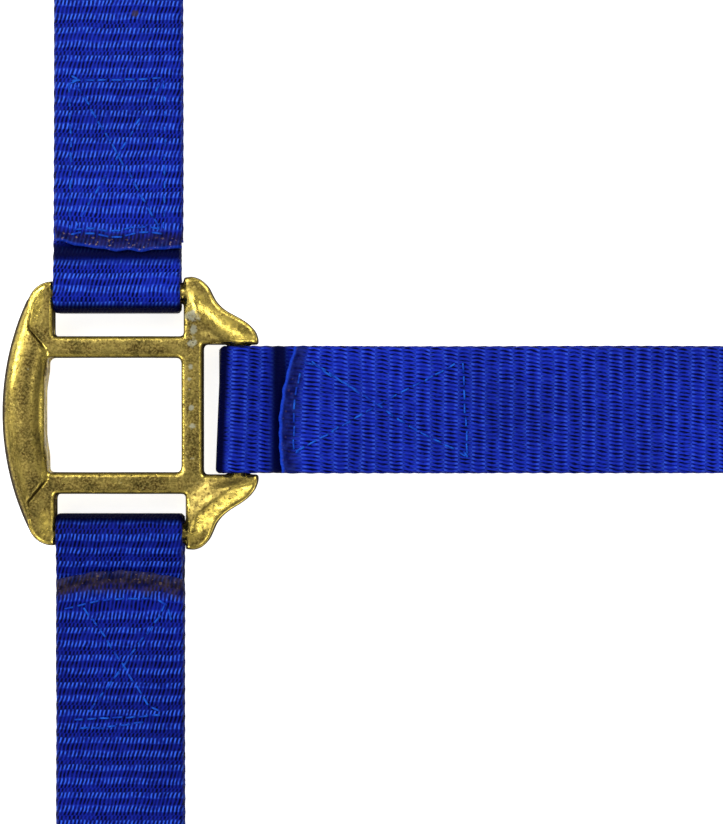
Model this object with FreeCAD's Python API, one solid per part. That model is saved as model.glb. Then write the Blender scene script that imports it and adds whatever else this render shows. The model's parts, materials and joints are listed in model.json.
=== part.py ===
"""Webbing head halter with cast squares, folded flat with its near side up and its three fastenings open.

The near square's window is centred on X = Y = 0. X runs to the poll, Y to the nose and Z up.
"""
import FreeCAD
import Part
import math
import os

Vector = FreeCAD.Vector

# Webbing
web_width = 25.4
ply = 1.8
lap = 0.05
loop_gap = 0.25
side_gap = 0.35
bar_to_cut = 10.5
bend = 3.0
tail_length = 50.0
short_tail = 30.0

# Cast square: a window with three strap bars and a D-shaped ring bar
casting_t = 4.4
bar_d = 4.0
window_w = 27.3
window_h = 23.0
rib = 4.3
nose_reach = 8.6
chin_reach = 7.9
cheek_reach = 6.95
nose_shift = 1.05
chin_shift = 1.45
cheek_shift = 1.1
block_w = 5.2
block_rise = 2.4
shoulder_rise = 3.2
shoulder_flat = 0.6
ear_rise = 4.1
ear_depth = 0.7
corner_r = 5.0
rim_r = 0.8
hole_corner_r = 1.0
d_bar_out = 22.3
d_bar_r = 54.0
d_bar_w = 8.5
d_bar_t = 6.8
d_bar_y = 0.5
d_bar_notch = 5.0
d_bar_inset = 0.6
d_bar_chamfer = 1.0

# Chin ring, buckles and keepers
ring_side = 37.5
ring_wire = 5.0
frame_corner = 3.0
buckle_length = 24.0
roller_wall = 1.05
run_gap = 0.05
roller_end_gap = 0.4
tongue_w = 3.8
tongue_t = 2.2
tongue_eye_w = 5.0
tongue_wall = 1.8
tongue_over = 3.0
tongue_slot = 8.4
tongue_slot_back = 9.5
keeper_w = 12.0
keeper_wall = 1.2
keeper_fit = 0.15
keeper_room = 4.6
keeper_from_bar = 24.0

# Eyelets
eyelet_bore = 4.4
eyelet_tube = 0.55
eyelet_flange = 8.8
eyelet_rim = 0.5
eyelet_fit = 0.05
eyelet_pitch = 22.0
eyelet_from_tip = 24.0
crown_eyelets = 5
chin_eyelets = 3
tip_r = 9.0

# Snap
eye_depth = 10.0
stem_d = 3.0
stem_head_d = 4.6
stem_head_t = 1.5
barrel_d = 8.8
barrel_length = 34.0
barrel_end = 3.0
bolt_d = 5.2
bolt_back = 14.0
bolt_travel = 9.0
bolt_reach = 18.7
knob_d = 3.6
knob_rim = 0.7
knob_height = 7.5
knob_back = 9.0
hook_d = 4.6
hook_gap = 6.1
gate_gap = 0.3
spring_wire = 0.6
spring_turns = 6

# Lengths of the straps, from bar axis to bar axis or to the fold or tip
nose_length = 130.0
near_chin_length = 90.0
off_chin_length = 126.0
cheek_length = 165.0
crown_length = 250.0
crown_tab_length = 62.0
crown_tip_gap = 24.0
throat_length = 245.0
billet_length = 108.0

# Heights of the two layers' bar axes
layer_gap = 0.7

slot_w = web_width + 2 * side_gap
bar_r = bar_d / 2
wrap_r = bar_r + loop_gap + ply
off_z = ring_wire / 2 + loop_gap + ply
near_z = off_z + 2 * wrap_r + layer_gap
pitch = near_z - off_z
nose_bar_y = window_h / 2 + rib + nose_reach
chin_bar_y = -(window_h / 2 + rib + chin_reach)
cheek_bar_x = window_w / 2 + rib + cheek_reach
upper_x = cheek_bar_x + cheek_length - chin_bar_y
upper_y = cheek_shift + chin_shift
crown_bar_x = upper_x + nose_bar_y
crown_y = upper_y - nose_shift
throat_x = upper_x + cheek_shift
throat_bar_y = upper_y - cheek_bar_x
near_buckle_y = chin_bar_y - near_chin_length
ring_top_y = chin_bar_y - off_chin_length
ring_y = ring_top_y - ring_side / 2
ring_right_x = chin_shift + ring_side / 2
billet_bar_y = ring_top_y - ring_side
crown_buckle_x = crown_bar_x + crown_tab_length
crown_tip = crown_tab_length + buckle_length + crown_tip_gap
snap_bar_y = throat_bar_y - throat_length
barrel_s = eye_depth + bar_r + gate_gap + run_gap
barrel_tip = barrel_s + barrel_length
frame_half = slot_w / 2 + frame_corner

EAST = 0
NORTH = 90
SOUTH = -90


def box(x0, x1, y0, y1, z0, z1):
    """A box between two corners."""
    return Part.makeBox(x1 - x0, y1 - y0, z1 - z0, Vector(x0, y0, z0))


def rod(start, along, radius):
    """A cylinder from a point, along a vector of its own length."""
    return Part.makeCylinder(radius, along.Length, start, along)


def place(shape, x, y, z, heading):
    """A piece made along +X, turned to its heading and moved to its bar."""
    placed = shape.copy()
    placed.rotate(Vector(0, 0, 0), Vector(0, 0, 1), heading)
    placed.translate(Vector(x, y, z))
    return placed


def plane_point(s, h):
    return Vector(s, 0, h)


def bent_edges(corners, offset):
    """Lines and tangent arcs through corners (along, height, bend radius), moved sideways by offset."""
    edges = []
    points = [plane_point(c[0], c[1]) for c in corners]
    headings = [(b - a).normalize() for a, b in zip(points, points[1:])]
    sides = [Vector(-d.z, 0, d.x) for d in headings]
    here = points[0] + sides[0] * offset
    for i in range(1, len(points) - 1):
        before = headings[i - 1]
        after = headings[i]
        left = 1 if before.x * after.z - before.z * after.x > 0 else -1
        turn = before.getAngle(after)
        radius = corners[i][2]
        reach = radius * math.tan(turn / 2)
        centre = points[i] - before * reach + sides[i - 1] * (left * radius)
        moved = radius - left * offset
        arc_start = centre - sides[i - 1] * (left * moved)
        arc_end = centre - sides[i] * (left * moved)
        middle = centre - (sides[i - 1] + sides[i]).normalize() * (left * moved)
        if here.distanceToPoint(arc_start) > 0.001:
            edges.append(Part.makeLine(here, arc_start))
        edges.append(Part.Arc(arc_start, middle, arc_end).toShape())
        here = arc_end
    last = points[-1] + sides[-1] * offset
    if here.distanceToPoint(last) > 0.001:
        edges.append(Part.makeLine(here, last))
    return edges


def ends_of(edges):
    """The first and last points of a run of edges."""
    chain = Part.Wire(edges)
    return chain.OrderedVertexes[0].Point, chain.OrderedVertexes[-1].Point


def ribbon(corners, thickness, width):
    """A flat strip that follows the corners, in the XZ plane, centred on Y = 0."""
    one = bent_edges(corners, thickness / 2)
    other = bent_edges(corners, -thickness / 2)
    first, last = ends_of(one)
    start, end = ends_of(other)
    caps = [Part.makeLine(first, start), Part.makeLine(last, end)]
    outline = Part.Wire(Part.__sortEdges__(one + other + caps))
    face = Part.Face(outline)
    face.translate(Vector(0, -width / 2, 0))
    return face.extrude(Vector(0, width, 0))


def round_tube(corners, radius):
    """A round bar that follows the corners in the XY plane."""
    spine = Part.Wire(bent_edges(corners, 0))
    ahead = plane_point(corners[1][0] - corners[0][0], corners[1][1] - corners[0][1])
    circle = Part.makeCircle(radius, plane_point(corners[0][0], corners[0][1]), ahead)
    tube = spine.makePipeShell([Part.Wire(circle)], True, False)
    tube.rotate(Vector(0, 0, 0), Vector(1, 0, 0), -90)
    return tube


def bar_loop(radius, side):
    """Corners of a ply that comes in along height 0, goes round a bar at 0, 0 and leaves one ply below.

    side is 1 if the tail lies below the ply and -1 if it lies above.
    """
    entry = bar_to_cut - bend / 5
    around = radius + loop_gap + ply / 2
    drop = ply + lap
    first = math.acos(around / entry)
    last = 2 * math.pi - math.atan2(drop, entry) - math.acos(around / math.hypot(entry, drop))
    step = (last - first) / 3
    out = around / math.cos(step / 2)
    corners = [(entry, 0, bend)]
    for k in range(3):
        angle = first + step * (k + 0.5)
        corners.append((out * math.cos(angle), side * out * math.sin(angle), around))
    corners.append((entry, -side * drop, bend))
    return corners


def from_end(corners, length):
    """Corners turned round, so that they are measured from the far end."""
    return [(length - c[0], c[1], c[2]) for c in corners]


def start_end(radius, tail, side):
    """Corners of a strap's first end, from the tip of its tail to where it lies at height 0."""
    loop = bar_loop(radius, side)
    return [(tail, -side * (ply + lap), 0)] + loop[::-1]


def strap_between(length, side, start_r, end_r, start_tail, end_tail):
    """Outer and inner ply of a strap with a loop at each end, along +X from its first bar."""
    corners = start_end(start_r, start_tail, side)
    corners += from_end(start_end(end_r, end_tail, side), length)[::-1]
    inner = ribbon(corners, ply, web_width)
    outer_line = [(bar_to_cut, side * ply, 0), (length - bar_to_cut, side * ply, 0)]
    return ribbon(outer_line, ply, web_width), inner


def round_tip(shape, s):
    """Rounds the corners of a strap's free tip at s."""
    corners = [e for e in shape.Edges if abs(e.CenterOfMass.x - s) < 0.01 and e.BoundBox.YLength < 0.01]
    return shape.makeFillet(tip_r, corners)


def eyelet_places(tip_s, count, inward):
    """Distances of the eyelets along a strap from its bar."""
    return [tip_s + inward * (eyelet_from_tip + k * eyelet_pitch) for k in range(count)]


def punch(shape, places, height):
    """Opens the eyelets' holes through the plies that lie about one height."""
    radius = eyelet_bore / 2 + eyelet_tube + eyelet_fit
    for s in places:
        hole = rod(Vector(s, 0, height - 2 * ply), Vector(0, 0, 4 * ply), radius)
        shape = shape.cut(hole)
    return shape


def eyelets(places, low, high):
    """Rolled eyelets through the plies between two heights, as one group."""
    bore = eyelet_bore / 2
    tube = bore + eyelet_tube
    flange = eyelet_flange / 2
    section = [
        Vector(bore, 0, low - eyelet_rim),
        Vector(flange, 0, low - eyelet_rim),
        Vector(flange, 0, low),
        Vector(tube, 0, low),
        Vector(tube, 0, high),
        Vector(flange, 0, high),
        Vector(flange, 0, high + eyelet_rim),
        Vector(bore, 0, high + eyelet_rim),
    ]
    face = Part.Face(Part.makePolygon(section + section[:1]))
    one = face.revolve(Vector(0, 0, 0), Vector(0, 0, 1), 360)
    group = []
    for s in places:
        copy = one.copy()
        copy.translate(Vector(s, 0, 0))
        group.append(copy)
    return Part.makeCompound(group)


def shoulder(start, end):
    """The S-shaped edge from a strap bar's block to the next ear, as a curve between two points."""
    shape = [(0.19, 0.03), (0.31, 0.16), (0.40, 0.36), (0.58, 0.54), (0.83, 0.70), (0.96, 0.85)]
    span = end - start
    points = [start]
    points += [Vector(start.x + a * span.x, start.y + b * span.y, 0) for a, b in shape]
    points.append(end)
    curve = Part.BSplineCurve()
    curve.interpolate(points)
    return curve.toShape()


def casting_outline():
    """The cast plate's outer edge, open where the three strap bars cross its notches."""
    nose_left = nose_shift - slot_w / 2
    nose_right = nose_shift + slot_w / 2
    chin_left = chin_shift - slot_w / 2
    chin_right = chin_shift + slot_w / 2
    cheek_low = cheek_shift - slot_w / 2
    cheek_high = cheek_shift + slot_w / 2
    nose_foot = window_h / 2 + rib
    cheek_foot = window_w / 2 + rib
    left = nose_left - block_w
    nose_top = nose_bar_y + block_rise
    nose_peak = nose_bar_y + shoulder_rise
    chin_low = chin_bar_y - block_rise
    chin_peak = chin_bar_y - shoulder_rise
    ear_x = cheek_bar_x + ear_rise
    cut = corner_r * (1 - math.sqrt(0.5))
    top_round = Vector(left + corner_r, nose_top, 0)
    low_round = Vector(left, chin_low + corner_r, 0)
    north_start = Vector(nose_right + shoulder_flat, nose_peak, 0)
    north_end = Vector(ear_x, cheek_high + ear_depth, 0)
    south_start = Vector(chin_right + shoulder_flat, chin_peak, 0)
    south_end = Vector(ear_x, cheek_low - ear_depth, 0)
    stops = [
        Vector(nose_left, nose_foot, 0),
        Vector(nose_left, nose_top, 0),
        top_round,
        Vector(left, nose_top - corner_r, 0),
        low_round,
        Vector(left + corner_r, chin_low, 0),
        Vector(chin_left, chin_low, 0),
        Vector(chin_left, -nose_foot, 0),
        Vector(chin_right, -nose_foot, 0),
        Vector(chin_right, chin_peak, 0),
        south_start,
        south_end,
        Vector(ear_x, cheek_low, 0),
        Vector(cheek_foot, cheek_low, 0),
        Vector(cheek_foot, cheek_high, 0),
        Vector(ear_x, cheek_high, 0),
        north_end,
        north_start,
        Vector(nose_right, nose_peak, 0),
        Vector(nose_right, nose_foot, 0),
    ]
    edges = []
    for a, b in zip(stops, stops[1:] + stops[:1]):
        if a == top_round:
            middle = Vector(left + cut, nose_top - cut, 0)
            edges.append(Part.Arc(a, middle, b).toShape())
        elif a == low_round:
            middle = Vector(left + cut, chin_low + cut, 0)
            edges.append(Part.Arc(a, middle, b).toShape())
        elif a == south_start:
            edges.append(shoulder(south_start, south_end))
        elif a == north_end:
            edges.append(shoulder(north_start, north_end))
        else:
            edges.append(Part.makeLine(a, b))
    return Part.Wire(Part.__sortEdges__(edges))


def ring_bar():
    """The D-shaped ring bar: an oval section swept round a large arc, and trimmed where it meets the blocks."""
    axis = Vector(d_bar_r - d_bar_out, d_bar_y, 0)
    oval = Part.Wire(Part.Ellipse(Vector(0, 0, 0), d_bar_w / 2, d_bar_t / 2).toShape())
    section = Part.Face(oval)
    section.rotate(Vector(0, 0, 0), Vector(1, 0, 0), 90)
    section.translate(Vector(d_bar_w / 2 - d_bar_out, d_bar_y, 0))
    half_turn = math.degrees(math.asin((nose_bar_y - d_bar_y) / d_bar_r))
    section.rotate(axis, Vector(0, 0, 1), -half_turn)
    swept = section.revolve(axis, Vector(0, 0, 1), 2 * half_turn)
    left = nose_shift - slot_w / 2 - block_w
    inside = d_bar_inset - window_w / 2
    top = nose_bar_y - block_rise / 2
    low = chin_bar_y + block_rise / 2
    step = window_h / 2 + d_bar_chamfer
    corners = [
        Vector(-d_bar_r, top, -d_bar_t),
        Vector(left + d_bar_chamfer, top, -d_bar_t),
        Vector(left, step + d_bar_notch, -d_bar_t),
        Vector(inside, step, -d_bar_t),
        Vector(inside, -step, -d_bar_t),
        Vector(left, -step - d_bar_notch, -d_bar_t),
        Vector(left + d_bar_chamfer, low, -d_bar_t),
        Vector(-d_bar_r, low, -d_bar_t),
    ]
    keep = Part.Face(Part.makePolygon(corners + corners[:1])).extrude(Vector(0, 0, 2 * d_bar_t))
    return swept.common(keep)


def halter_square():
    """One cast square, with its window, two ribs, three round strap bars and the ring bar."""
    face = Part.Face(casting_outline())
    plate = face.extrude(Vector(0, 0, casting_t))
    plate.translate(Vector(0, 0, -casting_t / 2))
    window = box(-window_w / 2, window_w / 2, -window_h / 2, window_h / 2, -casting_t, casting_t)
    upright = [e for e in window.Edges if e.BoundBox.ZLength > casting_t]
    plate = plate.cut(window.makeFillet(hole_corner_r, upright))
    rims = [e for e in plate.Edges if abs(abs(e.CenterOfMass.z) - casting_t / 2) < 0.001]
    rims = [e for e in rims if e.BoundBox.ZLength < 0.001]
    plate = plate.makeFillet(rim_r, rims)
    half = slot_w / 2 + ear_rise / 2
    nose_bar = rod(Vector(nose_shift - half, nose_bar_y, 0), Vector(2 * half, 0, 0), bar_r)
    chin_bar = rod(Vector(chin_shift - half, chin_bar_y, 0), Vector(2 * half, 0, 0), bar_r)
    ear_half = slot_w / 2 + ear_depth
    cheek_bar = rod(Vector(cheek_bar_x, cheek_shift - ear_half, 0), Vector(0, 2 * ear_half, 0), bar_r)
    return plate.multiFuse([nose_bar, chin_bar, cheek_bar, ring_bar()]).removeSplitter()


def round_frame(length, half_width, corner, radius):
    """A round-wire frame: its heel bar on the Y axis, its far bar at length."""
    corners = [(0, corner), (0, half_width), (length, half_width), (length, -half_width), (0, -half_width)]
    path = [(c[0], c[1], corner) for c in corners] + [(0, corner, 0)]
    return round_tube(path, radius)


def buckle_frame():
    return round_frame(buckle_length, frame_half, frame_corner, bar_r)


def buckle_roller():
    """A tube that turns on the frame's far bar."""
    half = slot_w / 2 - roller_end_gap
    start = Vector(buckle_length, -half, 0)
    along = Vector(0, 2 * half, 0)
    outside = rod(start, along, bar_r + run_gap + roller_wall)
    return outside.cut(rod(start, along, bar_r + run_gap))


def buckle_tongue():
    """The tongue: an eye round the heel bar and a blade that rests over the roller."""
    eye_r = bar_r + run_gap + tongue_wall
    rest = bar_r + run_gap + roller_wall + loop_gap / 2 + tongue_t / 2
    blade = [
        (0, eye_r - tongue_t / 2, 0),
        (buckle_length - tongue_over, rest, buckle_length / 2),
        (buckle_length + tongue_over, rest, 0),
    ]
    half = tongue_eye_w / 2
    eye = rod(Vector(0, -half, 0), Vector(0, tongue_eye_w, 0), eye_r)
    tongue = eye.fuse(ribbon(blade, tongue_t, tongue_w))
    return tongue.cut(rod(Vector(0, -half, 0), Vector(0, tongue_eye_w, 0), bar_r + run_gap))


def tongue_opening(s):
    """The oblong cut out of a strap's loop on the bar at s, so that the tongue's eye has room to turn."""
    half = tongue_slot / 2
    return box(s - tongue_slot_back, s + 2 * wrap_r, -half, half, -2 * wrap_r, 2 * wrap_r)


def keeper(s):
    """A webbing keeper round a strap at s, with room above for the billet."""
    stack = 1.5 * ply
    half = web_width / 2 + side_gap
    low = -stack - lap - keeper_fit
    high = stack + keeper_room
    s_end = s + keeper_w
    outside = box(s, s_end, -half - keeper_wall, half + keeper_wall, low - keeper_wall, high + keeper_wall)
    rims = [e for e in outside.Edges if e.BoundBox.XLength > keeper_w / 2]
    outside = outside.makeFillet(keeper_wall, rims)
    return outside.cut(box(s, s_end, -half, half, low, high))


def swivel_eye():
    """The snap's strap eye with its stem and head."""
    stem_r = stem_d / 2
    head_s = barrel_s + barrel_end + run_gap
    eye = round_frame(eye_depth, frame_half, frame_corner, bar_r)
    stem = rod(Vector(eye_depth, 0, 0), Vector(head_s + stem_head_t / 2 - eye_depth, 0, 0), stem_r)
    head = rod(Vector(head_s, 0, 0), Vector(stem_head_t, 0, 0), stem_head_d / 2)
    return eye.multiFuse([stem, head])


def snap_body():
    """The snap's barrel, with its hook and the slot for the bolt's knob."""
    barrel = rod(Vector(barrel_s, 0, 0), Vector(barrel_length, 0, 0), barrel_d / 2)
    arm_y = -(bolt_d / 2 + hook_gap + hook_d / 2)
    hook_s = barrel_tip + bolt_reach + gate_gap
    turn_r = -arm_y / 2
    path = [
        (barrel_tip - barrel_d, arm_y / 3, 0),
        (barrel_tip - hook_d / 4, arm_y, hook_d),
        (hook_s + turn_r, arm_y, turn_r),
        (hook_s + turn_r, 0, turn_r),
        (hook_s, 0, 0),
    ]
    body = barrel.fuse(round_tube(path, hook_d / 2))
    bore_s = barrel_s + barrel_end
    bore = rod(Vector(bore_s, 0, 0), Vector(barrel_tip + run_gap - bore_s, 0, 0), bolt_d / 2 + run_gap)
    stem_hole = rod(Vector(barrel_s - 1, 0, 0), Vector(barrel_end + 2, 0, 0), stem_d / 2 + run_gap)
    half = knob_d / 2 + 2 * run_gap
    knob_s = barrel_tip - knob_back
    slot = box(knob_s - bolt_travel - half, knob_s + half, -half, half, 0, barrel_d)
    return body.cut(bore).cut(stem_hole).cut(slot)


def snap_bolt():
    """The sliding bolt and its thumb knob."""
    start = barrel_tip - bolt_back
    bolt = rod(Vector(start, 0, 0), Vector(barrel_tip + bolt_reach - start, 0, 0), bolt_d / 2)
    knob = rod(Vector(barrel_tip - knob_back, 0, 0), Vector(0, 0, knob_height), knob_d / 2)
    top = [e for e in knob.Edges if abs(e.CenterOfMass.z - knob_height) < 0.001]
    return bolt.fuse(knob.makeFillet(knob_rim, top))


def snap_spring():
    """The bolt's return spring at the length it has when the bolt is fully back."""
    start = barrel_s + barrel_end + run_gap + stem_head_t + spring_wire
    lead = spring_wire * 1.3
    coil_r = bolt_d / 2 - spring_wire
    helix = Part.makeHelix(lead, lead * spring_turns, coil_r)
    circle = Part.makeCircle(spring_wire / 2, Vector(coil_r, 0, 0), Vector(0, 1, 0))
    coil = Part.Wire(helix).makePipeShell([Part.Wire(circle)], True, False)
    coil.rotate(Vector(0, 0, 0), Vector(0, 1, 0), 90)
    coil.translate(Vector(start, 0, 0))
    return coil


def nose_plies():
    """The nose strap, folded over at the nose, with a loop round each square's nose bar."""
    fold_r = pitch / 2
    low_end = start_end(bar_r, tail_length, -1)
    high_end = [(c[0], c[1] + pitch, c[2]) for c in start_end(bar_r, tail_length, 1)]
    fold = [(nose_length, 0, fold_r), (nose_length, pitch, fold_r)]
    inner = ribbon(low_end + fold + high_end[::-1], ply, web_width)
    far = nose_length + ply
    corners = [
        (bar_to_cut, -ply, 0),
        (far, -ply, fold_r + ply),
        (far, pitch + ply, fold_r + ply),
        (bar_to_cut, pitch + ply, 0),
    ]
    return ribbon(corners, ply, web_width), inner


def crown_plies():
    """The crown strap, from the off square over the poll fold to its free tip, and its eyelets."""
    fold_r = pitch / 2
    inner_line = start_end(bar_r, tail_length, -1)
    inner_line += [(crown_length, 0, fold_r), (crown_length, pitch, fold_r), (crown_tip, pitch, 0)]
    far = crown_length + ply
    outer_line = [
        (bar_to_cut, -ply, 0),
        (far, -ply, fold_r + ply),
        (far, pitch + ply, fold_r + ply),
        (crown_tip, pitch + ply, 0),
    ]
    places = eyelet_places(crown_tip, crown_eyelets, 1)
    outer = round_tip(ribbon(outer_line, ply, web_width), crown_tip)
    inner = round_tip(ribbon(inner_line, ply, web_width), crown_tip)
    rings = eyelets(places, pitch - ply / 2, pitch + 1.5 * ply)
    return punch(outer, places, pitch), punch(inner, places, pitch), rings


def billet_plies():
    """The chin billet: one loop on the chin ring, a free tip and its eyelets."""
    inner_line = start_end(ring_wire / 2, short_tail, -1) + [(billet_length, 0, 0)]
    outer_line = [(bar_to_cut, -ply, 0), (billet_length, -ply, 0)]
    places = eyelet_places(billet_length, chin_eyelets, -1)
    outer = round_tip(ribbon(outer_line, ply, web_width), billet_length)
    inner = round_tip(ribbon(inner_line, ply, web_width), billet_length)
    return punch(outer, places, 0), punch(inner, places, 0), eyelets(places, -1.5 * ply, ply / 2)


def jaw_plies():
    """The jaw strap, from the chin ring to where it is sewn down on the throat strap."""
    length = throat_x - ring_right_x
    edge = length - web_width / 2
    line = start_end(ring_wire / 2, tail_length, -1)
    line += [(edge - 4 * ply, 0, bend), (edge - ply, ply, bend), (length + web_width / 2, ply, 0)]
    outer_line = [(bar_to_cut, -ply, 0), (edge - ply, -ply, 0)]
    return ribbon(outer_line, ply, web_width), ribbon(line, ply, web_width)


pieces = {}


def add(name, shape, x, y, z, heading):
    """Puts a piece on the bar that it starts from."""
    pieces[name] = place(shape, x, y, z, heading)


square = halter_square()
add("near_halter_square", square, 0, 0, near_z, EAST)
add("off_halter_square", square, 0, 0, off_z, EAST)
add("near_cheek_square", square, upper_x, upper_y, near_z, SOUTH)
add("off_cheek_square", square, upper_x, upper_y, off_z, SOUTH)

outer, inner = nose_plies()
add("nose_strap_outer", outer, nose_shift, nose_bar_y, off_z, NORTH)
add("nose_strap_inner", inner, nose_shift, nose_bar_y, off_z, NORTH)

outer, inner = strap_between(near_chin_length, 1, bar_r, bar_r, short_tail + ply, short_tail)
inner = inner.cut(tongue_opening(near_chin_length))
add("near_chin_outer", outer, chin_shift, chin_bar_y, near_z, SOUTH)
add("near_chin_inner", inner, chin_shift, chin_bar_y, near_z, SOUTH)
add("chin_keeper", keeper(near_chin_length - keeper_from_bar), chin_shift, chin_bar_y, near_z, SOUTH)

outer, inner = strap_between(off_chin_length, -1, bar_r, ring_wire / 2, tail_length, tail_length)
add("off_chin_outer", outer, chin_shift, chin_bar_y, off_z, SOUTH)
add("off_chin_inner", inner, chin_shift, chin_bar_y, off_z, SOUTH)

for layer, height, side in (("near", near_z, 1), ("off", off_z, -1)):
    outer, inner = strap_between(cheek_length, side, bar_r, bar_r, tail_length, tail_length)
    add(layer + "_cheek_outer", outer, cheek_bar_x, cheek_shift, height, EAST)
    add(layer + "_cheek_inner", inner, cheek_bar_x, cheek_shift, height, EAST)

outer, inner, rings = crown_plies()
add("crown_strap_outer", outer, crown_bar_x, crown_y, off_z, EAST)
add("crown_strap_inner", inner, crown_bar_x, crown_y, off_z, EAST)
add("crown_eyelets", rings, crown_bar_x, crown_y, off_z, EAST)

outer, inner = strap_between(crown_tab_length, 1, bar_r, bar_r, short_tail, short_tail)
inner = inner.cut(tongue_opening(crown_tab_length))
add("crown_tab_outer", outer, crown_bar_x, crown_y, near_z, EAST)
add("crown_tab_inner", inner, crown_bar_x, crown_y, near_z, EAST)
add("crown_keeper", keeper(crown_tab_length - keeper_from_bar), crown_bar_x, crown_y, near_z, EAST)

outer, inner = strap_between(throat_length, -1, bar_r, bar_r, tail_length, tail_length)
add("throat_strap_outer", outer, throat_x, throat_bar_y, off_z, SOUTH)
add("throat_strap_inner", inner, throat_x, throat_bar_y, off_z, SOUTH)

outer, inner = jaw_plies()
add("jaw_strap_outer", outer, ring_right_x, ring_y, off_z, EAST)
add("jaw_strap_inner", inner, ring_right_x, ring_y, off_z, EAST)

outer, inner, rings = billet_plies()
add("chin_billet_outer", outer, chin_shift, billet_bar_y, off_z, SOUTH)
add("chin_billet_inner", inner, chin_shift, billet_bar_y, off_z, SOUTH)
add("chin_eyelets", rings, chin_shift, billet_bar_y, off_z, SOUTH)

ring = round_frame(ring_side, ring_side / 2, frame_corner, ring_wire / 2)
add("chin_ring", ring, chin_shift, ring_top_y, off_z, SOUTH)

for name, x, y, heading in (
    ("chin_buckle", chin_shift, near_buckle_y, SOUTH),
    ("crown_buckle", crown_buckle_x, crown_y, EAST),
):
    add(name + "_frame", buckle_frame(), x, y, near_z, heading)
    add(name + "_roller", buckle_roller(), x, y, near_z, heading)
    add(name + "_tongue", buckle_tongue(), x, y, near_z, heading)

add("snap_swivel_eye", swivel_eye(), throat_x, snap_bar_y, off_z, SOUTH)
add("snap_body", snap_body(), throat_x, snap_bar_y, off_z, SOUTH)
add("snap_bolt", snap_bolt(), throat_x, snap_bar_y, off_z, SOUTH)
add("snap_spring", snap_spring(), throat_x, snap_bar_y, off_z, SOUTH)

# The origin is the middle of the whole part's underside.
extent = Part.makeCompound(list(pieces.values())).optimalBoundingBox(False, False)
origin = Vector(extent.Center.x, extent.Center.y, extent.ZMin)
os.makedirs("parts", exist_ok=True)
for name, shape in pieces.items():
    shape.translate(origin * -1)
    shape.exportStep("parts/" + name + ".step")
print(len(pieces), "pieces, origin", origin, "size", extent.XLength, extent.YLength, extent.ZLength)
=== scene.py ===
"""Looks for the head halter: woven straps with their stitching and sealed ends, and tarnished cast brass."""
import json
import math

import bpy
import numpy as np
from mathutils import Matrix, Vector


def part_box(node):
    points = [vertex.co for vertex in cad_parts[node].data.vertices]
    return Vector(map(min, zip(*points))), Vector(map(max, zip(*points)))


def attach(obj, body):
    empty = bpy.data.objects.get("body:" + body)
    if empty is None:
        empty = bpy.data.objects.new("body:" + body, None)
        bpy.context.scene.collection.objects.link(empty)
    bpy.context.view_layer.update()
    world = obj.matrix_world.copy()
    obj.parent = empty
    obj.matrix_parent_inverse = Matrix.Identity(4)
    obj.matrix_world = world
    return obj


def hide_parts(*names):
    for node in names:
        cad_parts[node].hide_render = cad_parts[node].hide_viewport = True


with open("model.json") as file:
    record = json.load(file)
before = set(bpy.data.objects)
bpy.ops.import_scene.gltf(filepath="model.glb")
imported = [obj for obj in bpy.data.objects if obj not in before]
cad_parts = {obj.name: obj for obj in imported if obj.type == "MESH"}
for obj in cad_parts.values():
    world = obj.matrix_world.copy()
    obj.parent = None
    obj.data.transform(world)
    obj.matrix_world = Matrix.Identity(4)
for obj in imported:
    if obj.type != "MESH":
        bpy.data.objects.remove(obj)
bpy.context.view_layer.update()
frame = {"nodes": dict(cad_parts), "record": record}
MM = 0.001

# The same driving sizes as the solids, in millimetres
WEB_WIDTH = 25.4
PLY = 1.8
LAP = 0.05
LOOP_GAP = 0.25
BAR_TO_CUT = 10.5
BEND = 3.0
TAIL = 50.0
SHORT_TAIL = 30.0
BAR_R = 2.0
RING_R = 2.5
WRAP_R = BAR_R + LOOP_GAP + PLY
RING_WRAP_R = RING_R + LOOP_GAP + PLY
NOSE_LENGTH = 130.0
NEAR_CHIN_LENGTH = 90.0
OFF_CHIN_LENGTH = 126.0
CHEEK_LENGTH = 165.0
CROWN_LENGTH = 250.0
TAB_LENGTH = 62.0
THROAT_LENGTH = 245.0
BILLET_LENGTH = 108.0
CROWN_TIP = 110.0
CROWN_EYELETS = 5
CHIN_EYELETS = 3
TONGUE_SLOT = 8.4
SLOT_BACK = 9.5
EYELET_R = 2.8
EYELET_FROM_TIP = 24.0
EYELET_PITCH = 22.0
KEEPER_WALL = 1.2
TIP_R = 9.0

# The weave
RIB = 2.75
YARN = 0.79
RIB_HEIGHT = 0.06
SKIN = 0.1
WEB_FACE = 1.5 * PLY - SKIN
EDGE_R = 0.9
FINE_STEP = 0.4
COARSE_STEP = 0.92
FAR = 60.0

# The sewing thread
THREAD_R = 0.2
THREAD_SIDES = 6
STITCH = 2.75
SEAM_START = 13.0
SEAM_REACH = 45.0
ROW_INSET = 2.5
OFF_SEAM = (13, 42)
TIP_INSET = 3.2

# The castings, from the middle of their square window, with the D-bar to the left
FROM_D_BAR = 22.3
FROM_SHOULDERS = 27.6
SHOULDER_OUT = 30.3
SHOULDER_FACING = (0.615, 0.789)
D_BAR_CENTRE = (31.7, 0.5)
D_BAR_R = 54.0
RIGHT_RIB = 15.8
# How far along the right rib each grey spot is, and its radius
GREY_SPOTS = ((19.5, 1.7), (17.0, 1.0), (14.0, 1.3), (9.5, 1.0), (7.0, 0.7), (1.2, 0.75), (-2.3, 0.85),
              (-8.8, 0.7), (5, 0.5))
UNEVEN = 0.015

# The view: what it aims at, from the middle of the near square's window, and its height in metres
VIEW_SHIFT = (49.7, 0.5)
VIEW_HEIGHT = 0.1648
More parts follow.
